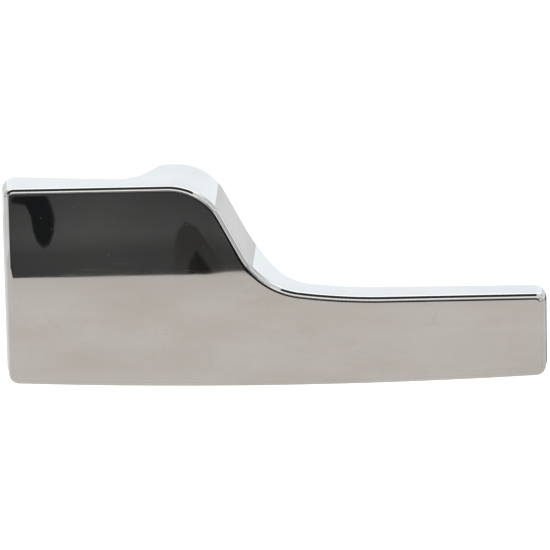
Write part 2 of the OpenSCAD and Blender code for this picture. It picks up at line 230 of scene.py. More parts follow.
class Paint:
    """A Principled material, its even values set on the shader, and the nodes that vary it."""

    def __init__(self, name, base, metallic, roughness):
        self.material = bpy.data.materials.new(name)
        self.material.use_nodes = True
        self.tree = self.material.node_tree
        self.shader = self.tree.nodes["Principled BSDF"]
        self.shader.inputs["Base Color"].default_value = (*base, 1)
        self.shader.inputs["Metallic"].default_value = metallic
        self.shader.inputs["Roughness"].default_value = roughness
        self.normal = None

    def node(self, kind, inputs=None, **settings):
        """A node with some settings; an input takes a value, or the output that feeds it."""
        made = self.tree.nodes.new("ShaderNode" + kind)
        for key, value in settings.items():
            setattr(made, key, value)
        for key, value in (inputs or {}).items():
            if isinstance(value, bpy.types.NodeSocket):
                self.tree.links.new(value, made.inputs[key])
            else:
                made.inputs[key].default_value = value
        return made

    def where(self, scale=(1, 1, 1), rotation=(0, 0, 0)):
        """Object coordinates scaled along each axis."""
        start = self.node("TexCoord").outputs["Object"]
        inputs = {"Vector": start, "Scale": scale, "Rotation": rotation}
        return self.node("Mapping", inputs).outputs["Vector"]

    def noise(self, scale, detail, vector=None):
        """Fractal noise, from 0 to 1."""
        inputs = {"Vector": vector or self.where(), "Scale": scale, "Detail": detail}
        return self.node("TexNoise", {**inputs, "Roughness": 0.55}).outputs["Fac"]

    def tool_marks(self, fineness):
        """Noise in rings about the spindle axis, as turning leaves it."""
        start = self.node("TexCoord").outputs["Object"]
        flat = self.node("VectorMath", {0: start, 1: (1, 0, 1)}, operation="MULTIPLY")
        radius = self.node("VectorMath", {0: flat.outputs["Vector"]}, operation="LENGTH")
        depth = self.node("SeparateXYZ", {"Vector": start}).outputs["Y"]
        both = {"X": radius.outputs["Value"], "Y": depth}
        inputs = {0: self.node("CombineXYZ", both).outputs["Vector"], "Scale": fineness}
        scaled = self.node("VectorMath", inputs, operation="SCALE")
        return self.noise(1.0, 2, scaled.outputs["Vector"])

    def cells(self, scale, vector=None, feature="F1"):
        """Distance to the middle of scattered cells, or to their edges."""
        inputs = {"Vector": vector or self.where(), "Scale": scale}
        return self.node("TexVoronoi", inputs, feature=feature).outputs["Distance"]

    def spread(self, value, low, high, to_low=0.0, to_high=1.0):
        """Maps a range of a value to another range."""
        inputs = {"Value": value, "From Min": low, "From Max": high}
        inputs.update({"To Min": to_low, "To Max": to_high})
        return self.node("MapRange", inputs).outputs["Result"]

    def combine(self, a, b, operation="MULTIPLY"):
        """Two values multiplied, added or compared."""
        return self.node("Math", {0: a, 1: b}, operation=operation).outputs["Value"]

    def rough(self, value, low, high, smooth, matt):
        """Roughness between two levels, over a range of a value."""
        level = self.spread(value, low, high, smooth, matt)
        self.tree.links.new(level, self.shader.inputs["Roughness"])

    def tint(self, value, first, second):
        """Base colour between two tints."""
        made = self.node("Mix", {"Factor": value}, data_type="RGBA")
        made.inputs["A"].default_value = (*first, 1)
        made.inputs["B"].default_value = (*second, 1)
        self.tree.links.new(made.outputs["Result"], self.shader.inputs["Base Color"])

    def bump(self, value, height):
        """Bump of a height in metres, over any bump before it."""
        made = self.node("Bump", {"Height": value, "Strength": 1.0, "Distance": height})
        if self.normal is not None:
            self.tree.links.new(self.normal, made.inputs["Normal"])
        self.normal = made.outputs["Normal"]
        self.tree.links.new(self.normal, self.shader.inputs["Normal"])

    def scratches(self, scale, rotation, width):
        """Fine curved scratches, 1 on them and 0 elsewhere."""
        start = self.where(scale, rotation)
        bend = self.node("TexNoise", {"Vector": start, "Scale": 1.3, "Detail": 1.0})
        moved = self.node("VectorMath", {0: start, 1: bend.outputs["Color"]}, operation="ADD")
        edges = self.cells(1.0, moved.outputs["Vector"], "DISTANCE_TO_EDGE")
        return self.spread(edges, 0, width, 1, 0)


def chrome_material():
    """Polished chrome plate with wipe marks, hairline scratches and a few specks."""
    paint = Paint("chrome_plate", (0.55, 0.55, 0.55), 1, 0.02)
    smear = paint.noise(1.0, 4, paint.where((55, 90, 160), (0, 0.35, 0)))
    hair = paint.noise(1.0, 2, paint.where((90, 500, 5200), (0, 0.22, 0)))
    hair_marks = paint.spread(hair, 0.68, 0.76, 0, 0.03)
    wiped = paint.spread(paint.combine(smear, paint.noise(38, 2)), 0.16, 0.42, 0.008, 0.035)
    dusty = paint.spread(paint.cells(700), 0.027, 0.045, 0.3, 0)
    marked = paint.combine(wiped, hair_marks, "ADD")
    paint.rough(paint.combine(marked, dusty, "ADD"), 0, 1, 0, 1)
    worn = paint.spread(paint.noise(120, 3), 0.48, 0.66, 0, 0.55)
    long_marks = paint.scratches((90, 140, 150), (0, 0.5, 0), 0.014)
    short_marks = paint.scratches((210, 160, 240), (0, -0.7, 0), 0.016)
    marks = paint.combine(paint.combine(long_marks, short_marks, "MAXIMUM"), worn)
    tone = paint.combine(paint.spread(smear, 0.3, 0.7), marks, "SUBTRACT")
    paint.tint(tone, (0.517, 0.521, 0.516), (0.579, 0.587, 0.59))
    paint.bump(paint.noise(90, 1), 1.5e-6)
    paint.bump(hair_marks, 1e-6)
    return paint.material


def cast_material():
    """Thin plate over the grain of the casting, inside its pockets."""
    paint = Paint("cast_plate", (0.5, 0.5, 0.5), 1, 0.3)
    flow = paint.noise(320, 4)
    paint.rough(flow, 0.3, 0.7, 0.24, 0.42)
    paint.tint(flow, (0.42, 0.42, 0.415), (0.56, 0.56, 0.55))
    paint.bump(flow, 6e-5)
    paint.bump(paint.noise(2600, 3), 2.2e-5)
    return paint.material


def brass_material():
    """Turned brass: fine tool marks round the axis, and dulled patches."""
    paint = Paint("turned_brass", (0.8, 0.6, 0.3), 1, 0.28)
    dull = paint.noise(210, 4)
    paint.rough(paint.combine(dull, paint.noise(1900, 2)), 0.12, 0.4, 0.18, 0.34)
    paint.tint(paint.spread(dull, 0.35, 0.75), (0.83, 0.62, 0.29), (0.72, 0.51, 0.22))
    paint.bump(paint.tool_marks(5200), 4e-6)
    return paint.material


def zinc_material():
    """Zinc plate on steel: bright, faintly blue and yellow, in small spangles."""
    paint = Paint("zinc_plate", (0.6, 0.61, 0.63), 1, 0.32)
    patch = paint.noise(260, 3)
    paint.rough(paint.combine(paint.cells(620), patch), 0.05, 0.4, 0.24, 0.46)
    paint.tint(paint.spread(patch, 0.35, 0.65), (0.63, 0.65, 0.68), (0.66, 0.62, 0.53))
    paint.bump(paint.tool_marks(4200), 6e-6)
    return paint.material


def dark_steel_material():
    """Oiled black oxide on steel, rubbed brighter in places."""
    paint = Paint("black_oxide", (0.07, 0.07, 0.075), 0.85, 0.38)
    rub = paint.noise(700, 4)
    paint.rough(rub, 0.3, 0.75, 0.3, 0.5)
    paint.tint(paint.spread(rub, 0.5, 0.78), (0.05, 0.05, 0.055), (0.2, 0.19, 0.18))
    paint.bump(paint.noise(5200, 2), 8e-6)
    return paint.material


def spring_material():
    """Drawn steel wire, with draw marks and a light heat tint."""
    paint = Paint("spring_wire", (0.45, 0.44, 0.43), 1, 0.3)
    drawn = paint.tool_marks(7000)
    paint.rough(drawn, 0.3, 0.7, 0.22, 0.4)
    heat = paint.spread(paint.noise(330, 3), 0.35, 0.7)
    paint.tint(heat, (0.5, 0.5, 0.51), (0.4, 0.36, 0.31))
    paint.bump(drawn, 5e-6)
    return paint.material


def nylon_material():
    """Moulded natural nylon, a little translucent, with a fine mould grain."""
    paint = Paint("nylon", (0.78, 0.75, 0.66), 0, 0.42)
    paint.shader.inputs["Subsurface Weight"].default_value = 0.25
    paint.shader.inputs["Subsurface Scale"].default_value = 0.0012
    grain = paint.noise(3600, 3)
    paint.rough(grain, 0.3, 0.7, 0.34, 0.5)
    paint.tint(paint.noise(240, 3), (0.82, 0.79, 0.7), (0.72, 0.68, 0.57))
    paint.bump(grain, 1.2e-5)
    return paint.material


def rubber_material():
    """Black moulded rubber with a matt grain and some pale bloom."""
    paint = Paint("rubber", (0.03, 0.03, 0.03), 0, 0.72)
    bloom = paint.noise(300, 4)
    paint.rough(bloom, 0.3, 0.75, 0.62, 0.86)
    paint.tint(paint.spread(bloom, 0.45, 0.8), (0.022, 0.022, 0.024), (0.075, 0.072, 0.07))
    paint.bump(paint.noise(2800, 4), 3e-5)
    return paint.material


chrome = chrome_material()
cast_plate = cast_material()
brass = brass_material()
zinc = zinc_material()
dark_steel = dark_steel_material()
spring_wire = spring_material()
nylon = nylon_material()
rubber = rubber_material()


# Handle ------------

# Outline of the front panel's outer edge, in millimetres and degrees
left_edge_x = -36.3
tip_edge_x = 62.1
wide_top = 24.0
arm_top = 2.7
bottom_drop = 13.8
corner_r = 1.9
bow_r = 1050.0
bow_x = 16.6
shoulder_x = -6.6
shoulder_r = 11.2
steep = 62.0
throat_r = 13.6
runout_r = 112.0
runout_turn = 8.0

# The rim, the side walls and the back; the S-curve's radii change with each unit of depth
rim_depth = 0.8
draft = math.radians(5.8)
shoulder_tightening = 0.2
throat_widening = 0.25
back_edge_r = 0.25
left_depth = 8.1
waist_depth = 5.3
waist_x = -16.0
root_depth = 6.1
root_x = 20.0
tip_depth = 5.2

# The casting's thicknesses, and what the neck holds
cast_wall = 1.8
cast_face = 2.0
rib_t = 1.3
stop_r = 9.6


def polar(radius, angle):
    """A point at a radius and an angle in degrees."""
    a = math.radians(angle)
    return np.array([radius * math.cos(a), radius * math.sin(a)])


def arc(centre, radius, bulge, start, end):
    """A stretch of outline, from start to end in degrees; bulge is -1 where it cuts in."""

    def at(t):
        a = np.radians(start + (end - start) * t)[:, None]
        out = np.concatenate([np.cos(a), np.sin(a)], 1)
        return np.array(centre) + radius * out, bulge * out

    return at


def line(start, end, normal):
    """A straight stretch of outline."""

    def at(t):
        t = t[:, None]
        return np.array(start) * (1 - t) + np.array(end) * t, np.array(normal) + 0 * t

    return at


def outline_chains():
    """The top and bottom edges of the front view, each from left to right."""
    left_x = left_edge_x + corner_r
    tip_x = tip_edge_x - corner_r
    bow_z = bow_r - bottom_drop
    inner = bow_r - corner_r
    left_z = bow_z - math.sqrt(inner**2 - (left_x - bow_x) ** 2)
    tip_z = bow_z - math.sqrt(inner**2 - (tip_x - bow_x) ** 2)
    bow_start = 270 + math.degrees(math.asin((left_x - bow_x) / inner))
    bow_end = 270 + math.degrees(math.asin((tip_x - bow_x) / inner))
    shoulder_c = np.array([shoulder_x, wide_top - shoulder_r])
    steep_start = shoulder_c + polar(shoulder_r, 90 - steep)
    fall, rise = math.radians(steep), math.radians(runout_turn)
    throat_z = arm_top + runout_r * (1 - math.cos(rise)) + throat_r * math.cos(rise)
    steep_drop = steep_start[1] - throat_z + throat_r * math.cos(fall)
    throat_x = steep_start[0] + steep_drop / math.tan(fall) + throat_r * math.sin(fall)
    throat_c = np.array([throat_x, throat_z])
    steep_end = throat_c + polar(throat_r, 270 - steep)
    runout_c = throat_c + polar(throat_r - runout_r, 270 - runout_turn)
    top_c = (left_x, wide_top - corner_r)
    tip_c = (tip_x, arm_top - corner_r)
    steep_normal = polar(1, 90 - steep)
    top = [
        arc(top_c, corner_r, 1, 180, 90),
        line((left_x, wide_top), (shoulder_x, wide_top), (0, 1)),
        arc(shoulder_c, shoulder_r, 1, 90, 90 - steep),
        line(steep_start, steep_end, steep_normal),
        arc(throat_c, throat_r, -1, 270 - steep, 270 - runout_turn),
        arc(runout_c, runout_r, -1, 270 - runout_turn, 270),
        line((runout_c[0], arm_top), (tip_x, arm_top), (0, 1)),
        arc(tip_c, corner_r, 1, 90, 0),
    ]
    bottom = [
        arc((left_x, left_z), corner_r, 1, 180, bow_start),
        arc((bow_x, bow_z), bow_r, 1, bow_start, bow_end),
        arc((tip_x, tip_z), corner_r, 1, bow_end, 360),
    ]
    return top, bottom


def along(chain, place):
    """Points and outward normals at places along a chain, one unit to each stretch."""
    points = np.zeros((len(place), 2))
    normals = np.zeros((len(place), 2))
    which = np.clip(place.astype(int), 0, len(chain) - 1)
    for i, stretch in enumerate(chain):
        mask = which == i
        if mask.any():
            points[mask], normals[mask] = stretch(place[mask] - i)
    return points, normals


def wall_lean(place, normals, is_top):
    """How far the wall moves in X and Z for each unit of depth.

    It is the draft, and along the S-curve the upper radius tightens and the lower one widens.
    """
    lean = math.tan(draft) * normals
    if not is_top:
        return lean
    upper = polar(1 / math.cos(math.radians(steep / 2)), 90 - steep / 2)
    half = (steep - runout_turn) / 2
    lower = polar(1 / math.cos(math.radians(half)), 90 - runout_turn - half)
    steep_normal = polar(1, 90 - steep)
    runout_normal = polar(1, 90 - runout_turn)
    into_shoulder = shoulder_tightening * (upper - np.array([0, 1]))
    out_of_shoulder = shoulder_tightening * (upper - steep_normal)
    into_throat = throat_widening * (lower - steep_normal)
    out_of_throat = throat_widening * (lower - runout_normal)
    share = place[:, None]
    stretches = [
        (1, (share - 1) * into_shoulder),
        (2, shoulder_tightening * (upper - normals)),
        (3, (4 - share) * out_of_shoulder + (share - 3) * into_throat),
        (4, throat_widening * (lower - normals)),
        (5, (6 - share) * out_of_throat),
    ]
    for start, extra in stretches:
        inside = (place >= start) & (place < start + 1)
        lean[inside] += extra[inside]
    return lean


def flank(foot, radius, angle, edge_r, side, lead=0.0):
    """The neck's side seen from above: a hollow, a slope, and an edge."""
    hollow_c = np.array([foot[0], foot[1] + radius])
    slope_start = hollow_c + polar(radius, 270 - side * angle)
    rise = neck_y - edge_r * (1 - math.cos(math.radians(angle))) - slope_start[1]
    slope_end = slope_start + rise * np.array([-side / math.tan(math.radians(angle)), 1])
    edge_c = slope_end + polar(edge_r, 270 - side * angle)
    hollow_turn = np.linspace(270 + side * lead, 270 - side * angle, 15)
    edge_turn = np.linspace(90 - side * angle, 90, 9)
    hollow = [hollow_c + polar(radius, a) for a in hollow_turn]
    return hollow + [edge_c + polar(edge_r, a) for a in edge_turn]


def back_plan():
    """Depth of the handle's back along X, as a line of (x, y)."""
    beyond = 25.0
    fall = math.degrees(math.atan((left_depth - waist_depth) / (waist_x - left_edge_x)))
    left = flank((waist_x, face_y + waist_depth), 6.0, 63.0, 2.2, -1, fall)
    right = flank((root_x, face_y + root_depth), 9.0, 48.0, 3.0, 1)
    ends = [(x, face_y + left_depth) for x in (left_edge_x - beyond, left_edge_x)]
    tips = [(x, face_y + tip_depth) for x in (tip_edge_x, tip_edge_x + beyond)]
    return np.array(ends + left + right[::-1] + tips)


plan = back_plan()


def back_at(x):
    """Y of the back surface."""
    return np.interp(x, plan[:, 0], plan[:, 1])


def rim_profile():
    """Distance in from the outer edge and depth behind the face, from the panel to the wall."""
    corners = [(1.6, 0.0), (1.16, 0.0, 2.8), (0.84, 0.036, 0.08), (0.74, 0.33, 0.05)]
    return rounded([*corners, (0.036, 0.45, 0.36), (0.0, rim_depth)], steps=8)


def wall_rings(chain, place):
    """Every ring's points at some places along a chain, from the front panel to the back."""
    points, normals = along(chain, place)
    rings = [flat_ring(points - inset * normals, face_y + y) for inset, y in rim_profile()]
    lean = wall_lean(place, normals, len(chain) > 3)
    edge_y = back_at(points[:, 0])
    for _ in range(12):
        edge = points + (edge_y - face_y - rim_depth)[:, None] * lean
        edge_y = 0.5 * edge_y + 0.5 * back_at(edge[:, 0])
    corner = flat_ring(edge, edge_y)
    outer = corner + back_edge_r * unit(flat_ring(-lean, -1.0))
    inside = edge - back_edge_r * normals
    inner = flat_ring(inside, back_at(inside[:, 0]))
    for t in np.linspace(0, 1, 5):
        rings.append((1 - t) ** 2 * outer + 2 * t * (1 - t) * corner + t**2 * inner)
    return np.array(rings)


def places_at(chain, stations):
    """Places along a chain where its innermost back ring has the given X stations."""
    fine = np.linspace(0, len(chain), 6001)
    back_x = wall_rings(chain, fine)[-1][:, 0]
    back_x = np.maximum.accumulate(back_x + np.arange(len(fine)) * 1e-9)
    return np.interp(stations, back_x, fine)


def handle_body():
    """The handle's outside, before its pockets are cut."""
    top, bottom = outline_chains()
    ends = np.array([0.0, 1e-6])
    first = wall_rings(top, ends)[-1][0, 0]
    last = wall_rings(top, len(top) - ends)[-1][0, 0]
    corner = np.array([1 - math.cos(a) for a in np.linspace(0, math.pi / 2, 12)]) * 2.4
    even = np.arange(first + 2.4, last - 2.4, 0.5)
    bends = plan[(plan[:, 0] > first + 2.4) & (plan[:, 0] < last - 2.4), 0]
    stations = np.concatenate([first + corner, even, bends, last - corner])
    stations = np.unique(np.round(stations, 3))
    stations = stations[np.concatenate([[True], np.diff(stations) > 0.02])]
    top_rings = wall_rings(top, places_at(top, stations))
    bottom_rings = wall_rings(bottom, places_at(bottom, stations))
    rings = np.concatenate([top_rings[:, ::-1], bottom_rings], 1)
    count = len(stations)
    around = 2 * count
    faces = skin_faces(len(rings), around, True)[: (len(rings) - 1) * around]
    for start, flip in ((0, True), ((len(rings) - 1) * around, False)):
        for i in range(count - 1):
            upper = start + i
            lower = start + around - 1 - i
            quad = (upper, upper + 1, lower - 1, lower)
            faces.append(quad[::-1] if flip else quad)
    return make_mesh("lever_handle", rings.reshape(-1, 3), faces, chrome)


def inset_loop(loop, inset):
    """A closed loop moved inwards, each point along the mean of its neighbours' normals."""
    edge = np.roll(loop, -1, 0) - loop
    normal = unit(np.stack([-edge[:, 1], edge[:, 0]], 1))
    return loop + inset * unit(normal + np.roll(normal, 1, 0))


def pocket_cutter(name, corners, floor_y):
    """A pocket with drafted walls and a rounded floor; corners run anticlockwise."""
    loop = rounded(corners, closed=True)
    levels = [(0.0, 0.75), (0.06, 0.45), (0.2, 0.24), (0.5, 0.12), (neck_y + 2 - floor_y, 0.0)]
    rings = [flat_ring(inset_loop(loop, inset), floor_y + rise) for rise, inset in levels]
    return skin(name, rings, cast_plate)


def inner_edge(chain, x):
    """Z of an outline chain moved in by the wall's thickness, at some X."""
    points, normals = along(chain, np.linspace(0, len(chain), 3001))
    moved = points - cast_wall * normals
    keep = np.abs(normals[:, 1]) > 0.05
    return np.interp(x, moved[keep, 0], moved[keep, 1])


def pockets():
    """Cutters for the pockets behind the wide part, the arm and the neck."""
    top, bottom = outline_chains()
    floor_y = face_y + cast_face
    r = 1.1
    left, right = left_edge_x + cast_wall, -14.0
    roof_z, rib_z = wide_top - cast_wall, (wide_top - bottom_drop) / 2
    upper = [(left, rib_z + rib_t), (right, rib_z + rib_t), (right, roof_z), (left, roof_z)]
    floor_left, floor_right = inner_edge(bottom, left + 1), inner_edge(bottom, right)
    lower = [(left, floor_left), (right, floor_right), (right, rib_z), (left, rib_z)]
    made = [
        pocket_cutter("upper", [(*corner, r) for corner in upper], floor_y),
        pocket_cutter("lower", [(*corner, r) for corner in lower], floor_y),
    ]
    walls = [18.0, 34.5, 34.5 + rib_t, 48.0, 48.0 + rib_t, tip_edge_x - cast_wall]
    for x0, x1 in zip(walls[::2], walls[1::2]):
        between = np.linspace(x1, x0, int((x1 - x0) / 2) + 1)[1:-1]
        corners = [
            (x0, inner_edge(bottom, x0), r),
            (x1, inner_edge(bottom, x1 - 0.5), r),
            (x1, inner_edge(top, x1 - 0.5), r),
            *[(x, inner_edge(top, x)) for x in between],
            (x0, inner_edge(top, x0), r),
        ]
        made.append(pocket_cutter(f"arm_{x0:.0f}", corners, floor_y))
    half, low_z = 4.8, 12.8
    x = np.linspace(half, 0, 200)
    corners = [
        (-half, low_z, 0.8),
        (np.interp(low_z, inner_edge(top, x), x), low_z, 0.9),
        *[(x, inner_edge(top, x)) for x in (2.4, 0.8, -1.0, -2.8)],
        (-half, inner_edge(top, -half), 0.8),
    ]
    made.append(pocket_cutter("neck", corners, neck_y - 10))
    return made


def slot_cutter():
    """The curved slot that the stop pin runs in."""
    half = 1.4
    first, last = 91.2, 118.8
    turn = np.linspace(first, last, 13)
    round_end = np.linspace(0, 180, 9)[1:-1]
    outer = [polar(stop_r + half, a) for a in turn]
    inner = [polar(stop_r - half, a) for a in turn[::-1]]
    end = [polar(stop_r, last) + polar(half, last + a) for a in round_end]
    start = [polar(stop_r, first) + polar(half, first - 180 + a) for a in round_end]
    loop = np.array(outer + end + inner + start)
    return prism("slot", loop, neck_y - 2.6, neck_y + 1, cast_plate)


def socket_cutter():
    """The square socket of the spindle."""
    half = 3.55
    loop = np.array([(-half, -half), (half, -half), (half, half), (-half, half)])
    return prism("socket", loop, neck_y - 10.2, neck_y + 1, cast_plate)


def screw_hole_cutter():
    """The set screw's hole, up through the neck's underside."""
    rings = turned([(2.05, -30.0), (2.05, -1.0)], turn_angles(48))
    return skin("screw_hole", upright_rings(rings, neck_y - 5, 0), cast_plate)


def build_handle():
    """The chromed casting."""
    obj = handle_body()
    for cutter in [*pockets(), slot_cutter(), socket_cutter(), screw_hole_cutter()]:
        cut(obj, cutter)
    stand_in(settle(obj, 24), "handle", "lever")


build_handle()


# Fittings ------------

spindle_reach = cad_high.y / MM
flange_front, sleeve_reach = depths("mounting_sleeve")
flange_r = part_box("mounting_sleeve")[1].x / MM
sleeve_r = 8.0
bore_r = 6.0
pitch = 1.5
thread_start = 6.0
bush_flange_r = 7.0
journal_r = 5.0
seat_r = 4.0
seat_flat = 3.0
spring_r = 6.2
wire_r = 0.45
collar_low, collar_high = depths("spring_collar")


def smooth_step(t):
    """0 below 0, 1 above 1, and a smooth rise between."""
    t = np.clip(t, 0, 1)
    return t * t * (3 - 2 * t)


def thread_height(phase):
    """Height of a rounded 60-degree thread at a phase of its pitch, 0 at the root, 1 at the crest."""
    rise = np.abs((phase % 1) - 0.5) * 2
    flank_share = np.clip((rise - 0.22) / 0.6, 0, 1)
    return smooth_step(flank_share) * 0.35 + flank_share * 0.65


def thread_rings(radius, depth, step, first, last, angles):
    """Rings of a left-hand thread about the Y axis."""
    rings = []
    for y in np.linspace(first, last, int((last - first) / step * 14) + 1):
        phase = y / step - angles / (2 * math.pi)
        run_in = smooth_step((y - first) / (0.9 * step))
        r = radius - depth * run_in * (1 - thread_height(phase))
        lead = radius - 0.9 * max(0.0, y - (last - 0.5 * step))
        rings.append(circle_ring(np.minimum(r, lead), y, angles))
    return rings


def plug(name, centre, radius, first, last, material, sides=32):
    """A plain round solid along Y, used to cut holes."""
    angles = turn_angles(sides)
    loop = np.array(centre) + radius * np.stack([np.cos(angles), np.sin(angles)], 1)
    return prism(name, loop, first, last, material)


def build_sleeve():
    """Flanged brass sleeve with a left-hand thread."""
    angles = turn_angles(144)
    front = rounded(
        [
            (bore_r, flange_front + 1.2),
            (bush_flange_r + 0.05, flange_front + 1.2),
            (bush_flange_r + 0.05, flange_front, 0.12),
            (flange_r, flange_front, 0.55),
            (flange_r, -2.0, 0.2),
            (sleeve_r - 0.4, -2.0),
            (sleeve_r - 0.4, -0.25),
            (sleeve_r, 0.0, 0.08),
            (sleeve_r, thread_start - 0.02),
        ]
    )
    end = sleeve_reach
    back = rounded([(sleeve_r - 0.7, end - 0.02), (sleeve_r - 0.9, end, 0.1), (bore_r, end)])
    thread = thread_rings(sleeve_r, 0.9, pitch, thread_start, end - 0.1, angles)
    rings = turned(front, angles) + thread + turned(back, angles)
    obj = skin("sleeve", rings, brass, wrap=True)
    cut(obj, plug("pin_hole", (0, stop_r), 1.12, flange_front - 1, flange_front + 2, brass))
    stand_in(settle(obj, 40), "mounting_sleeve", "fitting")


def hexagon_radius(angles, across_flats):
    """Radius of a hexagon with flats above and below, at some angles."""
    from_flat = (angles - math.pi / 2 + math.pi / 6) % (math.pi / 3) - math.pi / 6
    return across_flats / 2 / np.cos(from_flat)


def build_lock_nut():
    """Hexagon nut with turned chamfers and countersunk thread mouths."""
    low, high = depths("lock_nut")
    across = 2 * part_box("lock_nut")[1].z / MM
    angles = turn_angles(144, [0, 60, 120, 180, 240, 300])
    full = hexagon_radius(angles, across)
    face_r = np.minimum(full, across / 2 - 0.25)
    middle, half = (low + high) / 2, (high - low) / 2
    thread_r = sleeve_r + 0.08
    mouth = 0.6
    levels = [(thread_r + mouth, low), (thread_r, low + 0.55)]
    levels += [(thread_r, high - 0.55), (thread_r + mouth, high)]
    shares = np.linspace(0, 1, 4)
    for side, steps in ((1, shares[::-1]), (-1, shares)):
        for share in steps:
            r = face_r * share + full * (1 - share)
            drop = (r - face_r) * math.tan(math.radians(30))
            levels.append((r, middle + side * (half - drop)))
    obj = skin("nut", turned(levels, angles), brass, wrap=True)
    stand_in(settle(obj, 20), "lock_nut", "nut")


def build_ring(name, node, body, material, inner, edge, bulge=0.0):
    """A washer or gasket with rounded edges, sized by its CAD node; bulge swells its rim."""
    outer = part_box(node)[1].x / MM
    y0, y1 = depths(node)
    rim = [(outer, y0, edge), (outer, y1, edge)]
    if bulge:
        swollen = (outer, (y0 + y1) / 2, bulge * 3)
        rim = [(outer - bulge, y0, edge), swollen, (outer - bulge, y1, edge)]
    profile = rounded([(inner, y0, edge), *rim, (inner, y1, edge)], closed=True)
    stand_in(lathe(name, profile, material), node, body)


def bush_profile(inside, step, outside, edge):
    """A flanged bush, from its end in the sleeve to its flange's outer face."""
    inner = journal_r + 0.05
    barrel_r = bore_r - 0.02
    corners = [
        (inner, inside, 0.2),
        (barrel_r, inside, 0.2),
        (barrel_r, step),
        (bush_flange_r, step, 0.1),
        (bush_flange_r, outside, edge),
        (inner, outside, 0.25),
    ]
    return rounded(corners, closed=True)


def build_bushes():
    """Flanged nylon bearings at both ends of the sleeve."""
    low, high = depths("front_bush")
    obj = lathe("bush_front", bush_profile(high, low + 1.2, low, 0.2), nylon)
    stand_in(obj, "front_bush", "fitting")
    low, high = depths("rear_bush")
    hole = plug("leg_hole", (0, spring_r), 0.6, sleeve_reach + 0.2, high + 1, nylon, 24)
    obj = lathe("bush_rear", bush_profile(low, sleeve_reach, high, 0.3), nylon, hole)
    stand_in(obj, "rear_bush", "fitting")


def section(angles, radius, flat=None, square=None):
    """Radius of a spindle section: round, cut by a flat above, or square."""
    r = np.full(len(angles), float(radius))
    if square is not None:
        r = np.minimum(r, square / np.maximum(np.abs(np.cos(angles)), np.abs(np.sin(angles))))
    if flat is not None:
        r = np.minimum(r, flat / np.maximum(np.sin(angles), 1e-6))
    return r


def build_spindle():
    """Brass spindle: square shank, journal, clip groove and D-shaped seat."""
    low = depths("spindle")[0]
    clip_low, clip_high = depths("e_clip")
    seat = collar_low - 0.05
    corner = math.degrees(math.asin(seat_flat / seat_r))
    angles = turn_angles(120, [45, 135, 225, 315, corner, 180 - corner])
    levels = [
        (low, 4.3, None, 3.2),
        (low + 0.3, 6.0, None, 3.5),
        (neck_y, 6.0, None, 3.5),
        (neck_y, 4.8),
        (neck_y + 0.2, journal_r),
        (seat - 0.3, journal_r),
        (seat, journal_r - 0.3),
        (seat, seat_r, seat_flat),
        (clip_low - 0.05, seat_r, seat_flat),
        (clip_low - 0.05, 3.2),
        (clip_high + 0.05, 3.2),
        (clip_high + 0.05, seat_r - 0.1, seat_flat - 0.1),
        (clip_high + 0.15, seat_r, seat_flat),
        (spindle_reach - 0.6, seat_r, seat_flat),
        (spindle_reach - 0.05, seat_r - 0.55, seat_flat - 0.5),
        (spindle_reach, seat_r - 0.7, seat_flat - 0.62),
    ]
    rings = [circle_ring(section(angles, *sizes), y, angles) for y, *sizes in levels]
    obj = settle(skin("spindle_shaft", rings, brass), 25)
    stand_in(obj, "spindle", "lever")


def build_collar():
    """Collar with a D-shaped bore and a hole for the spring's leg."""
    slack = 0.05
    corner = math.degrees(math.asin((seat_flat + slack) / (seat_r + slack)))
    angles = turn_angles(128, [corner, 180 - corner])
    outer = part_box("spring_collar")[1].x / MM
    d_bore = section(angles, seat_r + slack, seat_flat + slack)
    edge = 0.35
    half = [(d_bore, 0.25), (d_bore + 0.25, 0.0), (outer - edge, 0.0)]
    half += [(outer - 0.3 * edge, 0.3 * edge), (outer, edge)]
    levels = [(r, collar_low + inward) for r, inward in half]
    levels += [(r, collar_high - inward) for r, inward in half[::-1]]
    obj = skin("collar", turned(levels, angles), zinc, wrap=True)
    hole = polar(spring_r, rear_leg_angle)
    cut(obj, plug("collar_hole", hole, 0.6, collar_low - 1, collar_high - 0.4, zinc, 24))
    stand_in(settle(obj), "spring_collar", "lever")


def build_stop_pin():
    """Ground steel pin with a domed tip."""
    y0, y1 = depths("stop_pin")
    profile = rounded([(0.3, y0), (1.1, y0, 0.35), (1.1, y1, 0.1), (0.3, y1)], steps=4)
    rings = np.array(turned(profile, turn_angles(48))) + np.array([0, 0, stop_r])
    obj = settle(skin("pin", rings, zinc))
    stand_in(obj, "stop_pin", "fitting")


def build_set_screw():
    """Grub screw with a hexagon socket, upright in the neck's underside."""
    low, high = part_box("set_screw")
    middle_y = (low.y + high.y) / 2 / MM
    bottom = low.z / MM
    length = high.z / MM - bottom
    angles = turn_angles(72)
    rings = turned([(1.2, 0.0), (1.62, 0.0)], angles)
    rings += thread_rings(2.0, 0.36, 0.7, 0.05, length - 0.5, angles)
    rings += turned([(1.3, length), (0.4, length)], angles)
    obj = skin("grub_screw", upright_rings(rings, middle_y, bottom), dark_steel)
    socket = turned([(1.155, -1), (1.155, 2)], np.radians(np.arange(6) * 60 + 30))
    cut(obj, skin("hex_socket", upright_rings(socket, middle_y, bottom), dark_steel))
    stand_in(settle(obj, 38), "set_screw", "lever")


def bend_path(turn, y, way):
    """The quarter bend of a spring leg into the coil, or out of it, as (turn, y, slope)."""
    path = []
    for step in range(9):
        a = step * 11.25 if way > 0 else 90 - step * 11.25
        lead = bend_r * (1 - math.cos(math.radians(a)))
        rise = bend_r * (1 - math.sin(math.radians(a)))
        path.append((turn + way * math.degrees(lead / spring_r), y - way * rise, 90 - a))
    return path


bend_r = 0.9
bend_turn = math.degrees(bend_r / spring_r)
spring_turns = 4
rear_leg_angle = 90 + 2 * bend_turn + 360 * spring_turns


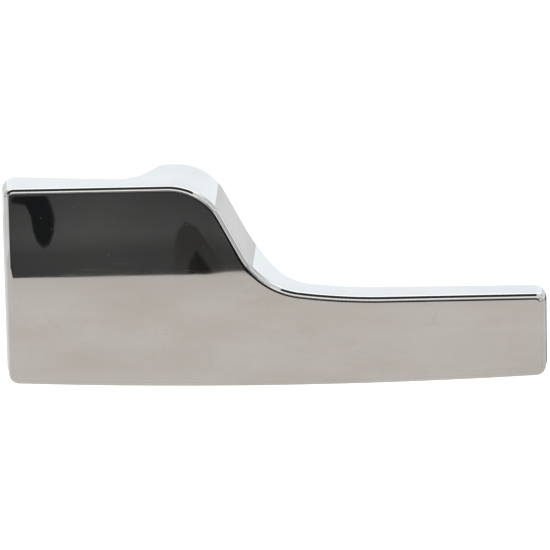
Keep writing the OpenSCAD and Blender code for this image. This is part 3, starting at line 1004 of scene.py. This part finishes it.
def build_spring():
    """Torsion spring of round wire with a straight leg at each end."""
    low, high = depths("return_spring")
    leg = 1.7
    start, end = low + leg, high - leg
    steps = 48 * spring_turns
    path = [(90.0, low, 90.0)] + bend_path(90.0, start, 1)
    for share in np.arange(1, steps) / steps:
        turn = 90 + bend_turn + 360 * spring_turns * share
        path.append((turn, start + (end - start) * share, 3.0))
    path += bend_path(rear_leg_angle, end, -1) + [(rear_leg_angle, high, 90.0)]
    around = turn_angles(16)[:, None]
    rings = []
    for turn, y, slope in path:
        a, tilt = math.radians(turn), math.radians(slope)
        out = np.array([math.cos(a), 0, math.sin(a)])
        forward = np.array([-math.sin(a), 0, math.cos(a)])
        across = math.cos(tilt) * np.array([0, 1, 0]) - math.sin(tilt) * forward
        centre = spring_r * out + np.array([0, y, 0])
        rings.append(centre + wire_r * (np.cos(around) * out + np.sin(around) * across))
    obj = settle(skin("spring", rings, spring_wire))
    stand_in(obj, "return_spring", "fitting")


def build_clip():
    """The CAD clip, welded and given soft edges."""
    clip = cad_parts["e_clip"]
    clip.data.materials.clear()
    clip.data.materials.append(dark_steel)
    weld = clip.modifiers.new("weld", "WELD")
    weld.merge_threshold = 1e-6
    soft = clip.modifiers.new("edges", "BEVEL")
    soft.width = 0.00008
    soft.segments = 2
    soft.limit_method = "ANGLE"
    soft.angle_limit = math.radians(40)


build_sleeve()
build_lock_nut()
seal_r = sleeve_r + 0.3
build_ring("gasket", "front_gasket", "fitting", rubber, sleeve_r + 0.2, 0.3, 0.25)
build_ring("washer_thrust", "thrust_washer", "fitting", nylon, journal_r + 0.15, 0.12)
build_ring("washer_seal", "rear_seal_washer", "clamp", rubber, seal_r, 0.3, 0.25)
build_ring("washer_clamp", "clamp_washer", "clamp", zinc, seal_r, 0.18)
build_bushes()
build_spindle()
build_collar()
build_stop_pin()
build_set_screw()
build_spring()
build_clip()


# Floor, light and camera ------------

scene = bpy.context.scene
scene.view_settings.view_transform = "Standard"
floor_z = cad_low.z - 0.0395
front = face_y * MM
front_wall_y = -1.7
back_wall_y = 1.5
ceiling_z = 1.7
camera_target = Vector((12.76, -15.5, 6.22)) * MM
camera_back = Vector((0, -math.cos(math.radians(12)), math.sin(math.radians(12))))
camera_place = camera_target + camera_back * 826 * MM


def stage_mesh(name, points, faces, material):
    """A sheet of the studio, in metres."""
    mesh = bpy.data.meshes.new(name)
    mesh.from_pydata(points, [], faces)
    mesh.materials.append(material)
    obj = add_object(name, mesh)
    return obj


def across_x(x, start, end):
    """Corners of a sheet between two X values, from one (y, z) to another."""
    return [(x[0], *start), (x[1], *start), (x[1], *end), (x[0], *end)]


def make_floor():
    """The pale studio floor."""
    side = 6.0
    paint = Paint("floor", (0.93, 0.93, 0.93), 0, 0.9)
    paint.shader.inputs["Specular IOR Level"].default_value = 0.0
    paint.shader.inputs["Emission Color"].default_value = (1, 1, 1, 1)
    paint.shader.inputs["Emission Strength"].default_value = 0.2
    corners = across_x((-side, side), (-side, floor_z), (side, floor_z))
    stage_mesh("floor", corners, [(0, 1, 2, 3)], paint.material)


def make_world():
    """Even white light from all round."""
    world = bpy.data.worlds.new("studio")
    world.use_nodes = True
    background = world.node_tree.nodes["Background"]
    background.inputs["Color"].default_value = (1, 1, 1, 1)
    background.inputs["Strength"].default_value = 1.0
    scene.world = world


def glow_material():
    """Glow tinted by the mesh's own tones."""
    paint = Paint("glow", (0, 0, 0), 0, 1)
    tint = paint.node("Attribute", attribute_name="tint")
    shine = paint.node("Emission", {"Color": tint.outputs["Color"], "Strength": 1.0})
    output = paint.tree.nodes["Material Output"]
    paint.tree.links.new(shine.outputs["Emission"], output.inputs["Surface"])
    paint.tree.nodes.remove(paint.shader)
    return paint.material


glow = glow_material()


def grey(level, warmth=0.0):
    """A grey of some luminance, warmer or cooler."""
    return (level * (1 + warmth), level, level * (1 - warmth))


def reflector(name, points, faces, tones):
    """A sheet that only polished surfaces see, with a tone at each point."""
    obj = stage_mesh(name, points, faces, glow)
    tint = obj.data.attributes.new("tint", "FLOAT_COLOR", "POINT")
    for value, tone in zip(tint.data, tones):
        value.color = (*tone, 1)
    for rays in ("camera", "diffuse", "transmission", "shadow"):
        setattr(obj, f"visible_{rays}", False)


def card(name, corners, *tones):
    """A reflector of one face, with one tone or a tone at each corner."""
    each = tones if len(tones) > 1 else tones * len(corners)
    reflector(name, corners, [tuple(range(len(corners)))], each)


def floor_card(name, outline, lift, *tones):
    """A card lying just above the floor; outline is a list of (x, y)."""
    card(name, [(x, y, floor_z + lift) for x, y in outline], *tones)


def mirror_reach(height, lift):
    """How far in front of the panel a ray mirrored there at a height meets a card on the floor."""
    camera_height = camera_place.z - height
    return (height - floor_z - lift) * (front - camera_place.y) / camera_height


def seen_in_panel(x, z, lift):
    """Point of the floor that the camera sees mirrored at (x, z) mm on the front panel."""
    reach = mirror_reach(z * MM, lift)
    aside = (x * MM - camera_place.x) / (front - camera_place.y)
    return (x * MM + aside * reach, front - reach, floor_z + lift)


horizon = front - mirror_reach(0.0077, 0.003)


def make_pale_sheets():
    """Painted reflection: pale glowing sheets just above the floor, which only polished surfaces see:
    in front, to both sides, and further off all round.
    """
    z = floor_z + 0.002
    middle = front - 0.24
    x = (-0.16, 0.2)
    # Painted reflection: the sheet in front is darker further off and lighter near the panel.
    far_tones = [(0.76, 0.70, 0.64)] * 2
    middle_tones = [(0.86, 0.795, 0.73)] * 2
    near_tones = [(0.89, 0.83, 0.765), (0.88, 0.82, 0.75)]
    card("floor_round", across_x((-5, 5), (-5, floor_z + 0.001), (5, floor_z + 0.001)), grey(0.72))
    card("floor_front", across_x(x, (horizon - 0.02, z), (middle, z)), *far_tones, *middle_tones)
    card("floor_near", across_x(x, (middle, z), (front + 0.02, z)), *middle_tones, *near_tones)
    left = [(-1.4, front - 0.6), (-0.11, front - 0.6), (-0.08, front + 0.7), (-1.4, front + 0.7)]
    floor_card("floor_left", left, 0.0015, *[grey(1.05, 0.01)] * 2, *[grey(0.9, 0.01)] * 2)
    right = [(0.1, front - 0.28), (1.4, front - 0.28), (1.4, front + 0.7), (0.1, front + 0.7)]
    floor_card("floor_right", right, 0.0015, grey(0.95, 0.02))


def make_dark_reflection_sheet():
    """Painted reflection: a dark glowing sheet just above the floor, in front of the pale sheet, which
    only polished surfaces see and the front panel mirrors as its dark band; its near edge steps nearer
    on the left.
    """
    reaches = [front - horizon, 0.306, 0.331, 0.371, 0.5, -front_wall_y]
    levels = [0.08, 0.083, 0.121, 0.096, 0.055, 0.045]
    shares = [0.7, 0.76, 1.0, 0.76, 0.88, 0.88]
    steps = [0.0022] * 4 + [-0.0006] * 2
    columns = len(shares)
    points, tones = [], []
    for row, (reach, level) in enumerate(zip(reaches, levels)):
        edges = (-0.02 - 0.36 * reach, -0.06, -0.034, -0.004, 0.001, 0.09 + 0.12 * reach)
        for x, step, share in zip(edges, steps, shares):
            points.append((x, front - reach + (0 if row else step), floor_z + 0.003))
            tones.append(grey(level * share, 0.015))
    faces = []
    for i in range(len(reaches) - 1):
        for corner in range(i * columns, (i + 1) * columns - 1):
            faces.append((corner, corner + 1, corner + columns + 1, corner + columns))
    reflector("dark_reflection_sheet", points, faces, tones)


def dark_shape(name, outline, lift, core, edge):
    """Painted reflection: a dark glowing sheet just above the floor, placed so that the front panel
    mirrors it at (x, z) mm: soft at its edge, darkest inside.
    """
    ring = [seen_in_panel(x, z, lift) for x, z in outline]
    middle = np.mean(ring, 0)
    inner = [tuple(middle + 0.88 * (np.array(point) - middle)) for point in ring]
    count = len(ring)
    faces = [tuple(range(count, 2 * count))]
    faces += [(i, (i + 1) % count, count + (i + 1) % count, count + i) for i in range(count)]
    reflector(name, ring + inner, faces, [edge] * count + [core] * count)


def make_dark_shapes():
    """Painted reflection of what else the front panel mirrors over the dark reflection sheet: two soft
    shapes and a flag.
    """
    streak = [(-35.4, 21.7), (-32.4, 21.1), (-31.4, 18.8), (-31.1, 16.0), (-30.4, 13.9), (-29.3, 12.7)]
    streak += [(-28.1, 13.3), (-27.3, 15.5), (-27.0, 18.4), (-27.6, 20.9), (-28.6, 23.4), (-34.4, 23.4)]
    peak = [(-3.4, 17.4), (-4.8, 15.6), (-5.4, 13.2), (-5.7, 10.0), (-5.7, 7.45)]
    peak += [(4.2, 7.8), (2.9, 9.8), (1.4, 12.1), (0.0, 14.4), (-1.4, 16.3)]
    core = [(-1.5, 12.0), (-2.7, 10.0), (-3.2, 7.4), (1.6, 7.5), (0.1, 10.0)]
    dark_shape("streak", streak, 0.0034, grey(0.017, -0.05), grey(0.05))
    dark_shape("peak", peak, 0.0034, grey(0.054, 0.04), grey(0.068, 0.03))
    dark_shape("peak_core", core, 0.0036, grey(0.02, 0.05), grey(0.05, 0.04))
    flag = [(0.0065, horizon), (0.0065, front - 0.305), (0.012, front - 0.33), (0.03, front - 0.4)]
    flag += [(0.06, front_wall_y), (0.44, front_wall_y)]
    flag += [(0.2, front - 0.75), (0.09, front - 0.46), (0.06, horizon)]
    floor_card("flag_right", flag, 0.0035, grey(0.012))


def directions(azimuth):
    """Outward and sideways unit vectors; azimuth 0 is in front and 90 to the right."""
    a = math.radians(azimuth)
    return Vector((math.sin(a), -math.cos(a), 0)), Vector((math.cos(a), math.sin(a), 0))


def upright(name, azimuth, reach, width, low, high, tone):
    """A card that stands across a direction from the object."""
    out, side = directions(azimuth)
    left, right = out * reach - side * width / 2, out * reach + side * width / 2
    foot, top = Vector((0, 0, low)), Vector((0, 0, high))
    card(name, [left + foot, right + foot, right + top, left + top], tone)


def make_soft_boxes():
    """Painted reflection of the walls before and behind, as glowing sheets that only polished surfaces
    see, and the soft boxes over and beside the object.
    """
    front_foot = (front_wall_y, floor_z)
    front_band = (front_wall_y, 0.09)
    # Painted reflection: the front wall's low band, darker towards its foot.
    low_tones = [grey(0.13)] * 2 + [grey(0.5)] * 2
    card("front_low", across_x((-0.75, 0.42), front_foot, front_band), *low_tones)
    card("front_low_right", across_x((0.42, 0.75), front_foot, front_band), grey(0.7, 0.02))
    front_top = (front_wall_y, 0.5)
    card("front_dark", across_x((-0.75, 0.28), front_band, front_top), grey(0.045, 0.12))
    box_foot, box_top = (back_wall_y, 0.21), (back_wall_y / 2, 1.5)
    back_edge, front_edge = (0.35, ceiling_z), (-0.35, ceiling_z)
    wide, narrow = (-1.8, 1.8), (-1.2, 1.2)
    card("back_wall", across_x(wide, (back_wall_y, floor_z), box_foot), grey(0.91))
    card("back_soft_box", across_x(wide, box_foot, box_top), (1.29, 1.34, 1.385))
    card("top_back_soft_box", across_x(narrow, box_top, back_edge), grey(2.2))
    card("top_card", across_x((-0.9, 0.9), back_edge, front_edge), grey(0.8))
    card("top_front_soft_box", across_x(narrow, front_edge, (-1.5, 1.1)), grey(2.4))
    upright("side_soft_box", 70, 1.35, 1.5, 0.2, 0.65, grey(1.5))


def make_flags():
    """Dark cards that stand or lie round the object and give the chrome its contrast."""
    for name, azimuth, width, high in (
        ("side_flag_left", -75, 0.5, 1.2),
        ("side_flag_right", 62, 0.6, 1.2),
        ("back_flag_left", -128, 0.35, 1.4),
        ("back_flag_right", 122, 0.4, 1.4),
    ):
        upright(name, azimuth, 1.5, width, floor_z, high, grey(0.05))
    out, side = directions(152)
    near, far, half = out * 0.16, out * 0.4, side * 0.05
    corners = [near - half, near + half, far + half * 1.6, far - half * 1.6]
    floor_card("low_flag_back", [tuple(corner[:2]) for corner in corners], 0.004, grey(0.1))


def make_key_light():
    """A soft key light for the matt pieces."""
    light = bpy.data.lights.new("key", "AREA")
    light.energy = 6.0
    light.size = 0.7
    obj = add_object("key", light)
    obj.location = (-0.7, -0.7, 1.1)
    obj.rotation_mode = "QUATERNION"
    obj.rotation_quaternion = (-obj.location).to_track_quat("-Z", "Y")
    obj.visible_glossy = False


def make_camera():
    """A long lens, in front and a little above, tilted by about a degree."""
    data = bpy.data.cameras.new("camera")
    data.sensor_width = 36.0
    data.lens = 295.3
    data.clip_start = 0.05
    data.clip_end = 20
    obj = add_object("camera", data)
    obj.location = camera_place
    roll = Matrix.Rotation(math.radians(-1.142), 4, "Z")
    aim = (-camera_back).to_track_quat("-Z", "Y").to_matrix().to_4x4()
    obj.rotation_euler = (aim @ roll).to_euler()
    scene.camera = obj


make_floor()
make_world()
make_pale_sheets()
make_dark_reflection_sheet()
make_dark_shapes()
make_soft_boxes()
make_flags()
make_key_light()
make_camera()
